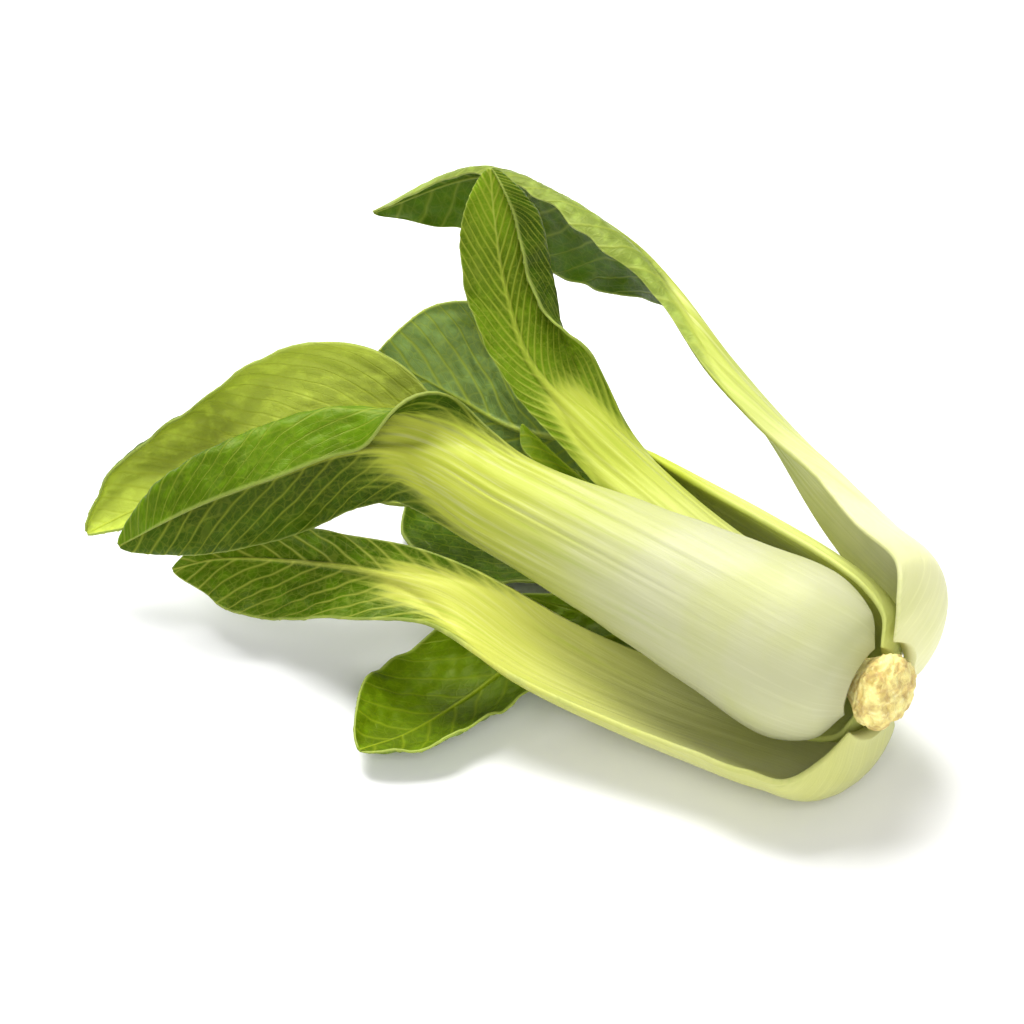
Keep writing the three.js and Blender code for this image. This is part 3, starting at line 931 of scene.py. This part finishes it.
def root_mesh():
    stations = np.array(STUB_PROFILE, float)
    t = np.linspace(0, 1, STUB_RINGS)
    keys = np.linspace(0, 1, len(stations))
    xs = curve_at(keys, stations[:, 0], t)
    radii = curve_at(keys, stations[:, 1], t)
    points = []
    for x, radius in zip(xs, radii):
        for k in range(STUB_SEGMENTS):
            angle = 2 * math.pi * k / STUB_SEGMENTS
            y = math.cos(angle)
            z = math.sin(angle)
            lumps = noise.fractal(Vector((0.25 * x, 1.4 * y, 1.4 * z)) * 1.1, 1.0, 2.0, 3)
            scars = abs(noise.noise(Vector((0.9 * x, 2.2 * y, 2.2 * z))))
            grown = float(smoothstep(CORK_GROWS[0], CORK_GROWS[1], x))
            reach = radius * (1 + grown * (LUMP_SHARE * lumps - SCAR_SHARE * scars))
            grain = noise.noise(Vector((7.0, 0.5 * reach * y, 0.5 * reach * z)))
            rough = min(END_ROUGHNESS * grown * grain, END_RISES_BY)
            points.append((x + rough, reach * y, AXIS_HEIGHT + reach * z))
    first = len(points)
    last = first + 1
    points.append((xs[0], 0, AXIS_HEIGHT))
    points.append((xs[-1] - END_DIMPLE, 0, AXIS_HEIGHT))
    faces = []
    for ring in range(STUB_RINGS - 1):
        for k in range(STUB_SEGMENTS):
            a = ring * STUB_SEGMENTS + k
            b = ring * STUB_SEGMENTS + (k + 1) % STUB_SEGMENTS
            faces.append((a, b, b + STUB_SEGMENTS, a + STUB_SEGMENTS))
    end = (STUB_RINGS - 1) * STUB_SEGMENTS
    for k in range(STUB_SEGMENTS):
        after = (k + 1) % STUB_SEGMENTS
        faces.append((first, after, k))
        faces.append((last, end + k, end + after))
    shift = np.array([HEAD_MIDDLE[0], HEAD_MIDDLE[1], 0])
    mesh = bpy.data.meshes.new("root_stub_looks")
    mesh.from_pydata(((np.array(points) - shift) * MM).tolist(), [], faces)
    mesh.polygons.foreach_set("use_smooth", np.ones(len(faces), bool))
    mesh.update()
    return mesh


def cork_material():
    t = Tree("cork")
    place = t.node("ShaderNodeTexCoord").outputs["Object"]
    lumps = t.noise(place, CORK_LUMPS, 4.0, 0.6)
    grain = t.noise(place, CORK_GRAIN, 4.0, 0.7)
    spots = t.step(t.net(place, CORK_SPOTS), 0.0, 0.25, 0.6, 0.0)
    spots = t.math("MULTIPLY", spots, t.step(lumps, 0.6, 0.4))
    colour = t.mix(t.step(lumps, 0.35, 0.65), CORK_COLOURS["deep"], CORK_COLOURS["light"])
    colour = t.mix(t.step(grain, 0.5, 0.75, 0.0, 0.6), colour, CORK_COLOURS["dry"])
    colour = t.mix(spots, colour, CORK_COLOURS["spot"])
    bump = t.node("ShaderNodeBump")
    bump.inputs["Distance"].default_value = CORK_BUMP * MM
    t.put(t.math("ADD", lumps, t.math("MULTIPLY", grain, 0.5)), bump.inputs["Height"])
    skin = t.node("ShaderNodeBsdfPrincipled")
    t.put(colour, skin.inputs["Base Color"])
    t.put(t.step(grain, 0.3, 0.7, 0.55, 0.85), skin.inputs["Roughness"])
    t.put(bump.outputs["Normal"], skin.inputs["Normal"])
    skin.inputs["Subsurface Weight"].default_value = CORK_SCATTER
    skin.inputs["Subsurface Radius"].default_value = CORK_SCATTER_REACH
    skin.inputs["Subsurface Scale"].default_value = CORK_SCATTER_DEPTH * MM
    end = t.node("ShaderNodeOutputMaterial")
    t.put(skin.outputs[0], end.inputs["Surface"])
    return t.material


# Surroundings, in metres and watts: place, size and power of each light
FLOOR_HALF = 6.0
FLOOR_TONES = ((0.90, 0.90, 0.90), (0.93, 0.93, 0.93))
FLOOR_ROUGHNESS = 0.7
KEY_LIGHT = ("key", (-0.5, 0.3, 1.05), 0.75, 25)
FILL_LIGHT = ("fill", (0.75, -0.7, 0.75), 0.9, 10)
LIGHTS_AIM = (0, 0, 0.03)
SKY_STRENGTH = 0.34


def build_floor():
    t = Tree("floor_paint")
    place = t.node("ShaderNodeTexCoord").outputs["Object"]
    tone = t.step(t.noise(place, 3.0, 2.0), 0.3, 0.7)
    skin = t.node("ShaderNodeBsdfPrincipled")
    t.put(t.mix(tone, *FLOOR_TONES), skin.inputs["Base Color"])
    skin.inputs["Roughness"].default_value = FLOOR_ROUGHNESS
    end = t.node("ShaderNodeOutputMaterial")
    t.put(skin.outputs[0], end.inputs["Surface"])
    mesh = bpy.data.meshes.new("floor")
    size = FLOOR_HALF
    corners = [(-size, -size, 0), (size, -size, 0), (size, size, 0), (-size, size, 0)]
    mesh.from_pydata(corners, [], [(0, 1, 2, 3)])
    mesh.materials.append(t.material)
    floor = bpy.data.objects.new("floor", mesh)
    bpy.context.scene.collection.objects.link(floor)


# Camera: angles estimated from the photo, lengths in millimetres, near clip in metres
CAMERA_TURN = math.radians(40)
CAMERA_RISE = math.radians(40)
CAMERA_DISTANCE = 1200
FRAME_WIDTH = 200
SENSOR_WIDTH = 36
NEAR_CLIP = 0.01
AIM = (-40.9, -29.7, 55.2)
TO_CAMERA = Vector((
    math.sin(CAMERA_TURN) * math.cos(CAMERA_RISE),
    -math.cos(CAMERA_TURN) * math.cos(CAMERA_RISE),
    math.sin(CAMERA_RISE),
))


def in_frame(point):
    return Vector((point[0] - HEAD_MIDDLE[0], point[1] - HEAD_MIDDLE[1], point[2])) * MM


def build_camera():
    data = bpy.data.cameras.new("camera")
    data.sensor_width = SENSOR_WIDTH
    data.lens = SENSOR_WIDTH * CAMERA_DISTANCE / FRAME_WIDTH
    data.clip_start = NEAR_CLIP
    camera = bpy.data.objects.new("camera", data)
    camera.location = in_frame(AIM) + TO_CAMERA * CAMERA_DISTANCE * MM
    camera.rotation_euler = (-TO_CAMERA).to_track_quat("-Z", "Y").to_euler()
    bpy.context.scene.collection.objects.link(camera)
    bpy.context.scene.camera = camera


def build_light(name, place, size, power):
    data = bpy.data.lights.new(name, "AREA")
    data.size = size
    data.energy = power
    lamp = bpy.data.objects.new(name, data)
    lamp.location = place
    beam = Vector(LIGHTS_AIM) - Vector(place)
    lamp.rotation_euler = beam.to_track_quat("-Z", "Y").to_euler()
    bpy.context.scene.collection.objects.link(lamp)


def build_world():
    world = bpy.data.worlds.new("studio")
    world.use_nodes = True
    background = world.node_tree.nodes["Background"]
    background.inputs["Color"].default_value = (1, 1, 1, 1)
    background.inputs["Strength"].default_value = SKY_STRENGTH
    bpy.context.scene.world = world
    bpy.context.scene.view_settings.view_transform = "Standard"


build_camera()
for leaf_name, leaf_facts in LEAVES.items():
    build_leaf(leaf_name, leaf_facts)
core = root_mesh()
core.materials.append(cork_material())
add_piece("root_stub_looks", core, "root_stub")
build_floor()
build_world()
build_light(*KEY_LIGHT)
build_light(*FILL_LIGHT)
